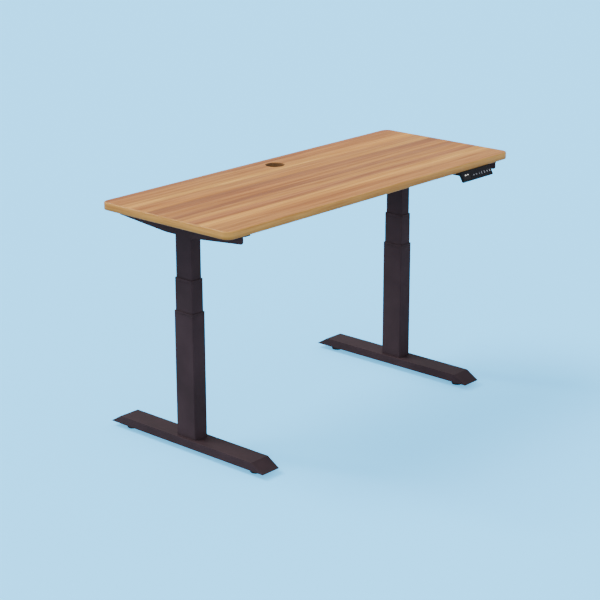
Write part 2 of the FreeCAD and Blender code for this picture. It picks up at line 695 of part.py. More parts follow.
def socket_x(step):
    return "box_x + (%s) * socket_pitch" % step


def control_box():
    rear = "box_y + box_wide / 2"
    case = box("box_x", "box_y", "box_base", "box_long", "box_wide", "box_tall")
    case = round_edges(case, "box_round", is_upright)
    hollow = box("box_x", "box_y", "box_base + box_wall", "box_long - 2 * box_wall",
                 "box_wide - 2 * box_wall", "box_tall")
    low = "box_base + board_raise + board_thick"
    windows = [box(socket_x(step), rear, low, "socket_wide + 2 * socket_fit", "4 * box_wall",
                   "socket_tall + socket_fit") for step in SOCKETS]
    node(cut(case, hollow, *windows), "control_box_case")
    board = box("box_x", "box_y", "box_base + board_raise", "box_long - 2 * box_wall - 2 * board_gap",
                "box_wide - 2 * box_wall - 2 * board_gap", "board_thick")
    legs = [box("box_x + (%d) * (box_long / 2 - board_leg_inset)" % a,
                "box_y + (%d) * (box_wide / 2 - board_leg_inset)" % b,
                "box_base + box_wall", "board_leg", "board_leg", "board_raise - box_wall")
            for a in (-1, 1) for b in (-1, 1)]
    blocks = [box(socket_x(step), rear + " - socket_deep / 2", low, "socket_wide", "socket_deep",
                  "socket_tall") for step in SOCKETS]
    mouths = [box(socket_x(step), rear + " - socket_mouth_deep / 2",
                  low + " + (socket_tall - socket_mouth_tall) / 2", "socket_mouth_wide",
                  "socket_mouth_deep", "socket_mouth_tall") for step in SOCKETS]
    node(cut(fuse(board, *legs, *blocks), *mouths), "control_board")
    lid = box("box_x", "box_y", "underside - lid_thick", "box_long + 2 * lid_ear", "box_wide", "lid_thick")
    lid = round_edges(lid, "box_round", is_upright)
    holes = [rod(x, y, "underside - lid_thick - past", "wood_screw_radius + wood_screw_gap",
                 "lid_thick + 2 * past") for x, y in lid_screw_places()]
    node(cut(lid, *holes), "control_box_lid")
    screws = [wood_screw(x, y, "underside - lid_thick") for x, y in lid_screw_places()]
    node(group(*screws), "control_box_screws")


def lid_screw_places():
    return [("box_x + (%d) * (box_long + lid_ear) / 2" % sign, "box_y") for sign in (-1, 1)]


# Handset ---------------------------------------------------------------------

BUTTONS = ("up", "down", "one", "two", "three", "four", "memory")


def rounded_face_box(along, up, inwards, long, tall, deep):
    """The same box with its outline's four corners round."""
    made = face_box(along, up, inwards, long, tall, deep)
    return round_edges(made, "face_corner", lambda e: abs(e.Length - made.Width.Value) < 0.001)


def face_box(along, up, inwards, long, tall, deep):
    """A box on the leaning face: `along` from the face's left end, `up` from its
    lower edge, `inwards` behind it, each to the box's middle or front side."""
    made = DOC.addObject("Part::Box", "FaceBox")
    for prop, text in (("Length", long), ("Width", deep), ("Height", tall)):
        bind(made, prop, text)
    rise = "(%s) - (%s) / 2" % (up, tall)
    x = "hand_x - hand_long / 2 + (%s) - (%s) / 2" % (along, long)
    y = "front_y - hand_nose + (%s) * sin(face_tilt) + (%s) * cos(face_tilt)" % (rise, inwards)
    z = "underside - hand_face_drop + (%s) * cos(face_tilt) - (%s) * sin(face_tilt)" % (rise, inwards)
    made.Placement.Rotation = FreeCAD.Rotation(FreeCAD.Vector(-1, 0, 0), 30)
    bind(made, "Placement.Rotation.Angle", "face_tilt")
    return place(made, x, y, z)


def handset():
    middle = ("hand_long / 2", "face_tall / 2")
    display = ("display_from_end", "face_tall / 2")
    handset_shell(middle)
    panel = rounded_face_box(*middle, "0", "face_panel_long", "face_panel_tall", "face_thick")
    windows = [face_box(*display, "-past", "display_wide", "display_tall", "face_thick + 2 * past")]
    for i, name in enumerate(BUTTONS):
        centre = (button_along(i), "face_tall / 2")
        windows.append(face_box(*centre, "-past", "button_wide + 2 * button_gap",
                                "button_tall + 2 * button_gap", "face_thick + 2 * past"))
        cap = face_box(*centre, "-button_proud", "button_wide", "button_tall", "face_thick + button_proud")
        lip = face_box(*centre, "face_thick", "button_wide + 2 * button_lip",
                       "button_tall + 2 * button_lip", "button_lip_thick")
        node(fuse(cap, lip), "handset_button_" + name)
    node(cut(panel, *windows), "handset_face")
    node(face_box(*display, "face_thick - display_thick", "display_wide", "display_tall", "display_thick"),
         "handset_display")


def handset_shell(middle):
    """The leaning slab under the front edge, its flat tail and its two screws."""
    body = new_body("handset_body")
    NODES.remove(body)
    place(body, "hand_x", 0, 0)
    side = sketch_on(body, "YZ_Plane")
    outline(side, [
        (-265, 800, "front_y + hand_tail", "underside"),
        (-337, 800, "front_y", "underside"),
        (-340, 797, "front_y - hand_nose_top", "underside - hand_top_drop"),
        (-356, 769, "front_y - hand_nose", "underside - hand_face_drop"),
        (-346, 765, "front_y - hand_nose + hand_chin_back", "underside - hand_chin_drop"),
        (-333, 788, "front_y + hand_back", "underside - hand_tail_tall"),
        (-265, 788, "front_y + hand_tail", "underside - hand_tail_tall")])
    pad(body, side, "hand_long", middle=True)
    dress(body, "Fillet", "hand_corner", is_chin_corner)
    dress(body, "Fillet", "hand_round", is_hand_edge)
    seat = rounded_face_box(*middle, "-hand_nose", "face_panel_long + 2 * face_fit",
                            "face_panel_tall + 2 * face_fit", "face_thick + hand_nose")
    hollow = face_box(*middle, "0", "face_panel_long - 2 * hand_wall",
                      "face_panel_tall - 2 * hand_wall", "face_thick + hand_hollow")
    holes = []
    for x, y in hand_screw_places():
        holes.append(rod(x, y, "hand_hole_low", "wood_screw_head + wood_screw_gap",
                         "underside - hand_screw_rim - hand_hole_low"))
        holes.append(rod(x, y, "hand_hole_low", "wood_screw_radius + wood_screw_gap",
                         "underside + past - hand_hole_low"))
    node(cut(body, seat, hollow, *holes), "handset_shell")
    screws = [wood_screw(x, y, "underside - hand_screw_rim") for x, y in hand_screw_places()]
    node(group(*screws), "handset_screws")


def button_along(i):
    return "button_first + %d * button_pitch" % i


def is_chin_corner(edge):
    """The short edges between the handset's ends and its chin."""
    middle = edge.CenterOfMass
    low = SIZES["top_height"] - SIZES["top_thick"] - SIZES["hand_tail_tall"]
    at_end = abs(middle.x) > SIZES["hand_long"] / 2 - SIZES["hand_round"]
    return at_end and middle.z < low and leans_down(edge)


def leans_down(edge):
    """True for the chin, not for the slab's face and back or the tail."""
    along = edge.Curve.Direction
    return 0.1 < abs(along.z) < 0.9 * abs(along.y)


def is_hand_edge(edge):
    """The long edges of the nose and chin, not those against the desktop."""
    if not isinstance(edge.Curve, Part.Line) or abs(edge.Curve.Direction.x) < 0.999:
        return False
    below = SIZES["top_height"] - SIZES["top_thick"] - edge.CenterOfMass.z
    return below > SIZES["hand_top_drop"] / 2


def hand_screw_places():
    y = "front_y + hand_tail - hand_screw_inset"
    return [("hand_x + (%d) * hand_screw_pitch / 2" % sign, y) for sign in (-1, 1)]


# The whole desk --------------------------------------------------------------

def check(things):
    for thing in things:
        if "Invalid" in thing.State or "Error" in thing.State:
            raise RuntimeError("%s (%s) failed: %s" % (thing.Name, thing.Label, thing.State))
    for thing in NODES:
        if thing.Shape.isNull() or not thing.Shape.isValid() or thing.Shape.Volume <= 0:
            raise RuntimeError("%s has no valid shape" % thing.Label)


def build():
    fill_sheet()
    desktop()
    leg("left", "-leg_x", 1)
    leg("right", "leg_x", -1)
    for side, sign in SIDES:
        side_bracket(side, sign)
    rails()
    frame_bolts()
    desktop_screws()
    control_box()
    handset()
    DOC.recompute()
    check(DOC.Objects)
    os.makedirs("parts", exist_ok=True)
    for thing in NODES:
        thing.Shape.exportStep("parts/%s.step" % thing.Label)
    print(len(NODES), "sub-parts")


build()
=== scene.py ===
import math

import bmesh
import bpy
from mathutils import Matrix, Vector


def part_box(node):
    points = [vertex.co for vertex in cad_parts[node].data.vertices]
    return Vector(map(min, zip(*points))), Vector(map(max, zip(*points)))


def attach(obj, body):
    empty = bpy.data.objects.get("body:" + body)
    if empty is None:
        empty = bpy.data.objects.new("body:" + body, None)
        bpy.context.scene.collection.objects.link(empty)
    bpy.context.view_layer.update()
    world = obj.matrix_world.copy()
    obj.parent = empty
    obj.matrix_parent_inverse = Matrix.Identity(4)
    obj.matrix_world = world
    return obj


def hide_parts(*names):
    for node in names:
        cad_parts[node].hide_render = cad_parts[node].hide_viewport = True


# Looks of the height adjustable standing desk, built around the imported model.
# Metres, in the model's own frame: +X along the desktop, +Y to its rear, +Z up.

MM = 0.001

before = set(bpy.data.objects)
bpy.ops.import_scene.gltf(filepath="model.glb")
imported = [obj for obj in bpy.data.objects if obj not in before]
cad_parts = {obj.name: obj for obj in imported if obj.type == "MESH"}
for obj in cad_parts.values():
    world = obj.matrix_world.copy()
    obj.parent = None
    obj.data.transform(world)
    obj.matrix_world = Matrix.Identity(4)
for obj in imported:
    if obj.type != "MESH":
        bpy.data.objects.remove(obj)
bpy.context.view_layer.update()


def corners(node):
    low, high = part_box(node)
    return Vector(low), Vector(high)


# Places and sizes that several pieces share -----------------------------------------

TOP_LOW, TOP_HIGH = corners("desktop")
TOP_MIDDLE = (TOP_LOW + TOP_HIGH) / 2
TOP_CORNER, TOP_ROUND = 28 * MM, 4 * MM
HOLE_RADIUS, HOLE_ROUND, HOLE_X, HOLE_FROM_REAR = 30 * MM, 3 * MM, 15 * MM, 77 * MM
SIDES = (("left", -1), ("right", 1))
TUBE_CORNER = 3.5 * MM  # outside corners of the column tubes
FINE = 24               # points round a small circle


# Camera -----------------------------------------------------------------------------

def add_camera():
    """Stands front left of the desk and looks slightly down on it."""
    yaw, pitch, roll = math.radians(48.19), math.radians(-17.89), math.radians(-0.11)
    eye = Vector((-4.1428, TOP_MIDDLE.y - 3.6323, 2.1726))
    ahead = Vector((math.sin(yaw) * math.cos(pitch), math.cos(yaw) * math.cos(pitch), math.sin(pitch)))
    level = Vector((math.cos(yaw), -math.sin(yaw), 0))
    upright = level.cross(ahead)
    right = level * math.cos(roll) + upright * math.sin(roll)
    up = upright * math.cos(roll) - level * math.sin(roll)
    data = bpy.data.cameras.new("camera")
    data.sensor_width = 36
    data.lens = 103.59
    data.clip_end = 200
    camera = bpy.data.objects.new("camera", data)
    turn = Matrix((right, up, -ahead)).transposed()
    camera.matrix_world = Matrix.Translation(eye) @ turn.to_4x4()
    bpy.context.scene.collection.objects.link(camera)
    bpy.context.scene.camera = camera


# Node helpers -----------------------------------------------------------------------

def srgb(*levels):
    """A colour given in 0 to 255 display levels, as linear light."""
    def linear(v):
        v = max(0, v) / 255
        return v / 12.92 if v <= 0.04045 else ((v + 0.055) / 1.055) ** 2.4
    return tuple(linear(v) for v in levels) + (1.0,)


def shade(colour, share):
    """The same colour, lighter or darker by a share of its display levels."""
    return srgb(*(level * share for level in colour))


WHITE = srgb(255, 255, 255)


class Nodes:
    """A material's node tree, with short calls that make and join nodes."""

    def __init__(self, name):
        self.material = bpy.data.materials.new(name)
        self.material.use_nodes = True
        self.tree = self.material.node_tree
        self.shader = self.tree.nodes["Principled BSDF"]

    def set(self, **values):
        for name, value in values.items():
            self.shader.inputs[name.replace("_", " ")].default_value = value

    def put(self, value, socket):
        if isinstance(value, bpy.types.NodeSocket):
            self.tree.links.new(value, socket)
        else:
            socket.default_value = value

    def node(self, kind, **inputs):
        made = self.tree.nodes.new("ShaderNode" + kind)
        for name, value in inputs.items():
            self.put(value, made.inputs[name])
        return made

    def place(self):
        return self.node("TexCoord").outputs["Object"]

    def stretch(self, vector, scale, offset=(0, 0, 0)):
        return self.node("Mapping", Vector=vector, Scale=scale, Location=offset).outputs["Vector"]

    def noise(self, vector, scale=1.0, detail=3.0, roughness=0.5, distortion=0.0):
        return self.node("TexNoise", Vector=vector, Scale=scale, Detail=detail, Roughness=roughness,
                         Distortion=distortion).outputs["Fac"]

    def rings(self, vector, pitch):
        """Rings along Z, one every `pitch`: the texture's own repeat is a tenth of pi."""
        made = self.node("TexWave", Vector=vector, Scale=math.pi / 10 / pitch, Distortion=0.0)
        made.bands_direction = "Z"
        return made.outputs["Fac"]

    def math(self, kind, a, b=0.0):
        made = self.node("Math")
        made.operation = kind
        self.put(a, made.inputs[0])
        self.put(b, made.inputs[1])
        return made.outputs["Value"]

    def spread(self, value, low, high, to_low, to_high):
        made = self.node("MapRange")
        for given, socket in zip((value, low, high, to_low, to_high), made.inputs):
            self.put(given, socket)
        return made.outputs["Result"]

    def ramp(self, value, stops):
        made = self.node("ValToRGB", Fac=value)
        elements = made.color_ramp.elements
        while len(elements) < len(stops):
            elements.new(0.5)
        for element, (where, colour) in zip(elements, stops):
            element.position = where
            element.color = colour
        return made.outputs["Color"]

    def multiply(self, amount, base, tint):
        made = self.node("Mix")
        made.data_type = "RGBA"
        made.blend_type = "MULTIPLY"
        colours = [socket for socket in made.inputs if socket.type == "RGBA"]
        self.put(amount, made.inputs["Factor"])
        self.put(base, colours[0])
        self.put(tint, colours[1])
        return next(socket for socket in made.outputs if socket.type == "RGBA")

    def split(self, vector):
        return self.node("SeparateXYZ", Vector=vector).outputs

    def join(self, x, y, z):
        return self.node("CombineXYZ", X=x, Y=y, Z=z).outputs["Vector"]

    def bump(self, height, strength, distance):
        made = self.node("Bump", Height=height, Strength=strength, Distance=distance)
        return made.outputs["Normal"]

    def colour(self, value):
        self.put(value, self.shader.inputs["Base Color"])

    def roughness(self, value):
        self.put(value, self.shader.inputs["Roughness"])

    def normal(self, value):
        self.put(value, self.shader.inputs["Normal"])


# Materials --------------------------------------------------------------------------

# The board is glued up from strips that run its length, rear to front: the share of
# the depth that each one takes, and its tone.
TONES = {
    "tan": (191, 136, 67), "straw": (203, 148, 69), "gold": (225, 171, 78), "brown": (162, 111, 62),
    "rose": (180, 124, 68),
}
STRIPS = (
    ("rose", 0.055), ("tan", 0.095), ("straw", 0.045), ("gold", 0.055), ("tan", 0.07), ("straw", 0.06),
    ("brown", 0.035), ("rose", 0.05), ("tan", 0.085), ("brown", 0.05), ("tan", 0.05), ("straw", 0.03),
    ("rose", 0.08), ("gold", 0.075), ("straw", 0.025), ("tan", 0.14),
)
JOINT_BLUR = 0.2        # share of a strip's width over which its tone runs into the next


def strip_stops():
    """The middle of each strip as a share of the depth, and its colour."""
    stops, start = [], 0.0
    for tone, share in STRIPS:
        for edge in (JOINT_BLUR, 1 - JOINT_BLUR):
            stops.append((start + share * edge, srgb(*TONES[tone])))
        start += share
    return stops


def wood_top():
    """Oiled strips: sways of the strips' edges, broad and fine streaks along X, and pores."""
    nodes = Nodes("wood_strips")
    place = nodes.place()
    y = nodes.split(place)["Y"]
    sway = nodes.noise(nodes.stretch(place, (0.9, 5, 0)), 1.0, 2)
    across = nodes.math("ADD", nodes.math("SUBTRACT", TOP_HIGH.y, y),
                        nodes.math("MULTIPLY", nodes.math("SUBTRACT", sway, 0.5), 12 * MM))
    base = nodes.ramp(nodes.math("DIVIDE", across, TOP_HIGH.y - TOP_LOW.y), strip_stops())
    warm = nodes.noise(nodes.stretch(place, (1.1, 9, 0), (5, 2, 0)), 1.0, 2)
    broad = nodes.noise(nodes.stretch(place, (1.3, 56, 56)), 1.0, 4, 0.6, 0.4)
    fine = nodes.noise(nodes.stretch(place, (5, 330, 330), (3, 1, 7)), 1.0, 4, 0.65)
    pores = nodes.noise(nodes.stretch(place, (14, 900, 900), (1, 5, 2)), 1.0, 2)
    base = nodes.multiply(1.0, base, nodes.ramp(warm, [(0.35, srgb(252, 240, 232)), (0.65, WHITE)]))
    base = nodes.multiply(1.0, base, nodes.ramp(broad, [(0.35, srgb(212, 200, 192)), (0.6, WHITE)]))
    base = nodes.multiply(1.0, base, nodes.ramp(fine, [(0.3, srgb(222, 208, 194)), (0.6, WHITE)]))
    base = nodes.multiply(0.6, base, nodes.ramp(pores, [(0.3, srgb(205, 190, 176)), (0.45, WHITE)]))
    nodes.colour(base)
    nodes.roughness(nodes.spread(fine, 0.3, 0.7, 0.5, 0.4))
    nodes.normal(nodes.bump(nodes.math("ADD", fine, pores), 0.12, 0.4 * MM))
    nodes.set(Specular_IOR_Level=0.12)
    return nodes.material


def wood_band():
    """The board's edge: a veneer band whose grain runs round the board."""
    nodes = Nodes("wood_edge_band")
    x, y, z = (nodes.split(nodes.place())[axis] for axis in "XYZ")
    about = nodes.math("ADD", x, y)
    place = nodes.join(about, about, z)
    streak = nodes.noise(nodes.stretch(place, (6, 6, 420)), 1.0, 4, 0.6)
    broad = nodes.noise(nodes.stretch(place, (1.5, 1.5, 60), (4, 4, 1)), 1.0)
    base = nodes.ramp(broad, [(0.3, srgb(172, 120, 50)), (0.7, srgb(200, 150, 72))])
    # Painted shade: the band is darker and cooler towards its lower part, standing in for the shade along
    # the board's underside.
    tall = nodes.math("DIVIDE", nodes.math("SUBTRACT", z, TOP_LOW.z), TOP_HIGH.z - TOP_LOW.z)
    base = nodes.multiply(1.0, base, nodes.ramp(tall, [(0.2, srgb(216, 222, 224)), (0.6, WHITE)]))
    base = nodes.multiply(1.0, base, nodes.ramp(streak, [(0.3, srgb(222, 210, 196)), (0.6, WHITE)]))
    nodes.colour(base)
    nodes.roughness(nodes.spread(streak, 0.3, 0.7, 0.45, 0.36))
    nodes.normal(nodes.bump(streak, 0.08, 0.3 * MM))
    nodes.set(Specular_IOR_Level=0.1, Coat_Weight=0.3, Coat_Roughness=0.22)
    return nodes.material


def hole_wood():
    """The cable hole's wall: wood painted darker, as painted shade for the shade that falls inside the
    hole.
    """
    nodes = Nodes("wood_hole_wall")
    place = nodes.place()
    layers = nodes.noise(nodes.stretch(place, (60, 60, 700)), 1.0, 4, 0.6)
    nodes.colour(nodes.ramp(layers, [(0.3, srgb(84, 56, 32)), (0.7, srgb(120, 84, 48))]))
    nodes.roughness(nodes.spread(layers, 0.3, 0.7, 0.7, 0.85))
    nodes.normal(nodes.bump(layers, 0.3, 0.3 * MM))
    nodes.set(Specular_IOR_Level=0.2)
    return nodes.material


def coated(name, colour, rough, peel_scale=1500, peel_depth=0.12):
    """Baked powder paint: an orange-peel skin whose tone drifts a little."""
    nodes = Nodes(name)
    place = nodes.place()
    peel = nodes.noise(place, peel_scale, 2)
    cloud = nodes.noise(place, 7, 3, 0.55)
    base = nodes.ramp(cloud, [(0.35, shade(colour, 0.92)), (0.65, shade(colour, 1.08))])
    base = nodes.multiply(0.5, base, nodes.ramp(peel, [(0.3, srgb(205, 200, 200)), (0.6, WHITE)]))
    nodes.colour(base)
    nodes.roughness(nodes.spread(cloud, 0.3, 0.7, rough - 0.04, rough + 0.05))
    nodes.normal(nodes.bump(peel, 0.25, peel_depth * MM))
    nodes.set(Specular_IOR_Level=0.06)
    return nodes.material


def moulded(name, colour, rough=0.5, scale=2600, depth=0.08, gloss=0.3):
    """Moulded plastic with a fine spark-eroded texture."""
    nodes = Nodes(name)
    place = nodes.place()
    grain = nodes.noise(place, scale, 2)
    cloud = nodes.noise(place, 30, 2)
    nodes.colour(nodes.ramp(cloud, [(0.3, shade(colour, 0.9)), (0.7, shade(colour, 1.05))]))
    nodes.roughness(nodes.spread(grain, 0.3, 0.7, rough - 0.05, rough + 0.06))
    nodes.normal(nodes.bump(grain, 0.15, depth * MM))
    nodes.set(Specular_IOR_Level=gloss)
    return nodes.material


def metal(name, colour, rough, thread=0.0):
    """Plated or rolled steel; `thread` is the pitch of rings along Z, if it has any."""
    nodes = Nodes(name)
    place = nodes.place()
    brushed = nodes.noise(nodes.stretch(place, (1, 1, 12)), 260, 3, 0.6)
    stain = nodes.noise(place, 60, 3, 0.6)
    base = nodes.ramp(stain, [(0.3, shade(colour, 0.86)), (0.7, shade(colour, 1.04))])
    nodes.colour(base)
    nodes.roughness(nodes.spread(brushed, 0.3, 0.7, rough - 0.06, rough + 0.1))
    if thread:
        nodes.normal(nodes.bump(nodes.rings(place, thread), 1.0, thread / 3))
    else:
        nodes.normal(nodes.bump(brushed, 0.08, 0.1 * MM))
    nodes.set(Metallic=1.0)
    return nodes.material


def circuit_board(board_top):
    """Green lacquer with faint copper runs below `board_top`, black sockets above it."""
    nodes = Nodes("circuit_board")
    place = nodes.place()
    z = nodes.split(place)["Z"]
    runs = nodes.noise(nodes.stretch(place, (900, 90, 90)), 1.0, 1)
    above = nodes.math("GREATER_THAN", z, board_top)
    lacquer = nodes.ramp(runs, [(0.48, srgb(18, 84, 48)), (0.52, srgb(34, 112, 66))])
    nodes.colour(nodes.multiply(above, lacquer, srgb(90, 60, 70)))
    nodes.roughness(nodes.spread(runs, 0.3, 0.7, 0.3, 0.42))
    return nodes.material


def window_glass():
    nodes = Nodes("display_window")
    smudge = nodes.noise(nodes.place(), 90)
    nodes.colour(nodes.ramp(smudge, [(0.3, srgb(14, 15, 18)), (0.7, srgb(21, 22, 26))]))
    nodes.roughness(nodes.spread(smudge, 0.3, 0.7, 0.1, 0.2))
    nodes.set(Specular_IOR_Level=0.15, Coat_Weight=0.08, Coat_Roughness=0.06)
    return nodes.material


def printed(name, colour, glow=0.0):
    """Ink on the buttons, with a faint glow that is painted light, or, with more glow, a lit segment of the
    display.
    """
    nodes = Nodes(name)
    grain = nodes.noise(nodes.place(), 3000, 2)
    nodes.colour(nodes.ramp(grain, [(0.3, shade(colour, 0.92)), (0.7, srgb(*colour))]))
    nodes.roughness(nodes.spread(grain, 0.3, 0.7, 0.4, 0.55))
    nodes.set(Emission_Color=srgb(*colour), Emission_Strength=glow)
    return nodes.material


def paint(node, material):
    """Gives a CAD node another material and leaves its mesh alone."""
    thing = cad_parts[node]
    if len(thing.data.materials) == 0:
        thing.data.materials.append(material)
    for own in thing.material_slots:
        own.link = "OBJECT"
        own.material = material


# Mesh helpers -----------------------------------------------------------------------

def new_piece(name, bm, body, slot, *materials, replaces=()):
    mesh = bpy.data.meshes.new(name)
    bmesh.ops.recalc_face_normals(bm, faces=bm.faces)
    bm.to_mesh(mesh)
    bm.free()
    for material in materials:
        mesh.materials.append(material)
    piece = bpy.data.objects.new(name, mesh)
    bpy.context.scene.collection.objects.link(piece)
    for face in mesh.polygons:
        face.use_smooth = True
    mesh.set_sharp_from_angle(angle=math.radians(35))
    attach(piece, body)
    if replaces:
        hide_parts(*replaces)
    return piece


def arc(cx, cy, radius, start, end, steps):
    """Points of an arc, both ends included; angles in degrees."""
    angles = [math.radians(start + (end - start) * i / steps) for i in range(steps + 1)]
    return [(cx + radius * math.cos(a), cy + radius * math.sin(a)) for a in angles]


def circle(radius, count=FINE):
    return arc(0, 0, radius, 0, 360, count)[:-1]


def rounded_loop(wide, deep, corner, steps=6):
    """The outline of a rounded rectangle about the origin, anticlockwise."""
    x, y = wide / 2 - corner, deep / 2 - corner
    points = []
    for cx, cy, start in ((x, -y, -90), (x, y, 0), (-x, y, 90), (-x, -y, 180)):
        points += arc(cx, cy, corner, start, start + 90, steps)
    return points


def hexagon(across_flats, count=FINE):
    """A hexagon sampled at as many points as a circle, so that the two can be joined."""
    points = []
    for i in range(count):
        turn = 2 * math.pi * i / count
        inside = (turn + math.pi / 6) % (math.pi / 3) - math.pi / 6
        radius = across_flats / 2 / math.cos(inside)
        points.append((radius * math.cos(turn), radius * math.sin(turn)))
    return points


def cross(length, count=FINE):
    """The outline of a cross recess, four arms on every quarter turn."""
    points = []
    for i in range(count):
        quarter = count // 4
        in_arm = min(i % quarter, -i % quarter) <= 1
        turn = 2 * math.pi * i / count
        radius = length / 2 if in_arm else length / 5
        points.append((radius * math.cos(turn), radius * math.sin(turn)))
    return points


def skin(bm, loops, index=0, at=Matrix.Identity(4), closed=False):
    """Faces over a stack of (outline, height) loops; the first and last are capped,
    or joined to each other where the stack is `closed`."""
    rings = [[bm.verts.new(at @ Vector((x, y, z))) for x, y in outline] for outline, z in loops]
    pairs = list(zip(rings, rings[1:]))
    if closed:
        pairs.append((rings[-1], rings[0]))
    faces = []
    for low, high in pairs:
        for i in range(len(low)):
            j = (i + 1) % len(low)
            faces.append(bm.faces.new((low[i], low[j], high[j], high[i])))
    if not closed:
        faces += [bm.faces.new(rings[0]), bm.faces.new(rings[-1])]
    for face in faces:
        face.material_index = index
    return rings


def turned(bm, profile, index=0, at=Matrix.Identity(4), count=48):
    """A solid of revolution about Z through (radius, height) points in millimetres."""
    return skin(bm, [(circle(radius * MM, count), z * MM) for radius, z in profile], index, at)


def facing(point, direction):
    """A place at `point` whose own Z looks along `direction`."""
    return Matrix.Translation(point) @ Vector(direction).to_track_quat("Z", "Y").to_matrix().to_4x4()


def solids_of(node):
    """Lowest and highest corners of each separate solid of a CAD node."""
    bm = bmesh.new()
    bm.from_mesh(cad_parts[node].data)
    bmesh.ops.remove_doubles(bm, verts=bm.verts, dist=0.001 * MM)
    boxes, seen = [], set()
    for start in bm.verts:
        if start in seen:
            continue
        seen.add(start)
        reach, group = [start], []
        while reach:
            vert = reach.pop()
            group.append(vert.co.copy())
            for edge in vert.link_edges:
                other = edge.other_vert(vert)
                if other not in seen:
                    seen.add(other)
                    reach.append(other)
        low = Vector(tuple(min(co[i] for co in group) for i in range(3)))
        high = Vector(tuple(max(co[i] for co in group) for i in range(3)))
        boxes.append((low, high))
    bm.free()
    return boxes


# Desktop ----------------------------------------------------------------------------

def rim_profile(over, steps=5):
    """(inset, height) points from the underside to the top face, both rims rounded."""
    quarter = [(over - x, over - y) for x, y in arc(0, 0, over, 90, 0, steps)]
    thick = TOP_HIGH.z - TOP_LOW.z
    low = [(inset, TOP_LOW.z + z) for inset, z in quarter]
    return low + [(inset, TOP_LOW.z + thick - z) for inset, z in reversed(quarter)]


def desktop(top, band, hole_shade_wood):
    """The board: strips above and below, a band round its edge, a round cable hole."""
    bm = bmesh.new()
    size = TOP_HIGH - TOP_LOW
    hole_y = TOP_HIGH.y - HOLE_FROM_REAR - TOP_MIDDLE.y
    centre = Matrix.Translation((TOP_MIDDLE.x, TOP_MIDDLE.y, 0))
    outside, inside = [], []
    for inset, z in rim_profile(TOP_ROUND):
        loop = rounded_loop(size.x - 2 * inset, size.y - 2 * inset, TOP_CORNER - inset, 16)
        outside.append((loop, z))
    for inset, z in rim_profile(HOLE_ROUND):
        inside.append((arc(HOLE_X, hole_y, HOLE_RADIUS + inset, 0, 360, 72)[:-1], z))
    rims = [skin(bm, outside, 1, centre), skin(bm, inside, 2, centre)]
    bmesh.ops.delete(bm, geom=[face for face in bm.faces if len(face.verts) > 4], context="FACES_ONLY")
    for end in (0, -1):
        edges = []
        for ring in (rims[0][end], rims[1][end]):
            edges += [bm.edges.get((ring[i - 1], ring[i])) for i in range(len(ring))]
        bmesh.ops.triangle_fill(bm, use_beauty=True, edges=edges)
    # The hole's wall, material 2, takes the wood painted darker as painted shade.
    piece = new_piece("desktop_board", bm, "desk_top", "wood", top, band, hole_shade_wood, replaces=["desktop"])
    piece.modifiers.new("weighted", "WEIGHTED_NORMAL").keep_sharp = True


# Columns ----------------------------------------------------------------------------

MOUTH_INSET = 2.85      # millimetres from a tube's outside to the mouth of its collar
LIP_GROOVE = 0.7        # millimetres of shadow gap between the tube and the collar's lip


def collar(side, stage, body, material):
    """The plastic guide in a tube's mouth: a lip with a shadow gap below it, a
    chamfered mouth and the sleeve inside the tube."""
    node = "%s_%s_collar" % (side, stage)
    low, high = corners(node)
    tube_top = corners("%s_column_%s" % (side, stage))[1].z
    middle = (low + high) / 2
    profile = [
        (1.6, low.z), (1.6, tube_top), (LIP_GROOVE, tube_top), (LIP_GROOVE, tube_top + 0.7 * MM),
        (0, tube_top + 1.2 * MM), (0, high.z - 1.6 * MM), (0.4, high.z - 0.5 * MM), (1.2, high.z),
        (MOUTH_INSET - 0.6, high.z), (MOUTH_INSET, high.z - 0.7 * MM), (MOUTH_INSET, low.z)]
    loops = []
    for inset, z in profile:
        corner = TUBE_CORNER if inset == MOUTH_INSET else TUBE_CORNER - min(inset, 2) * MM
        wide, deep = (high.x - low.x) - 2 * inset * MM, (high.y - low.y) - 2 * inset * MM
        loops.append((rounded_loop(wide, deep, corner), z))
    bm = bmesh.new()
    skin(bm, loops, 0, Matrix.Translation((middle.x, middle.y, 0)), closed=True)
    new_piece(node + "_moulding", bm, body, "black_plastic", material, replaces=[node])


GLIDE_TALL, STUD_RADIUS, STUD_PITCH = 13, 4, 1.25      # millimetres


def glide(side, end, plastic, steel):
    """A levelling glide: a ribbed disc with a hexagonal neck, on a threaded stud."""
    node = "%s_%s_glide" % (side, end)
    low, high = corners(node)
    at = Matrix.Translation(((low.x + high.x) / 2, (low.y + high.y) / 2, low.z))
    bm = bmesh.new()
    turned(bm, [(16.5, 0), (18.2, 0.6), (19, 2), (19, 4.6), (18.3, 5), (18.3, 5.8), (19, 6.2),
                (19, 10.4), (18.6, 11.4), (17, 12.2), (11, GLIDE_TALL)], 0, at)
    neck = [(hexagon(13 * MM), GLIDE_TALL * MM - 0.5 * MM), (hexagon(13 * MM), GLIDE_TALL * MM + 1.3 * MM),
            (hexagon(12 * MM), GLIDE_TALL * MM + 1.8 * MM)]
    skin(bm, neck, 0, at)
    top = (high.z - low.z) / MM
    thread = [(STUD_RADIUS - 0.7, GLIDE_TALL)]
    for i in range(int((top - GLIDE_TALL - 1) / STUD_PITCH)):
        base = GLIDE_TALL + 1 + i * STUD_PITCH
        thread += [(STUD_RADIUS - 0.7, base), (STUD_RADIUS, base + 0.45 * STUD_PITCH),
                   (STUD_RADIUS, base + 0.6 * STUD_PITCH)]
    thread += [(STUD_RADIUS - 0.7, top - 0.4), (STUD_RADIUS - 1.2, top)]
    turned(bm, thread, 1, at, FINE)
    new_piece(node + "_disc", bm, node, "black_plastic", plastic, steel, replaces=[node])


# Screws -----------------------------------------------------------------------------

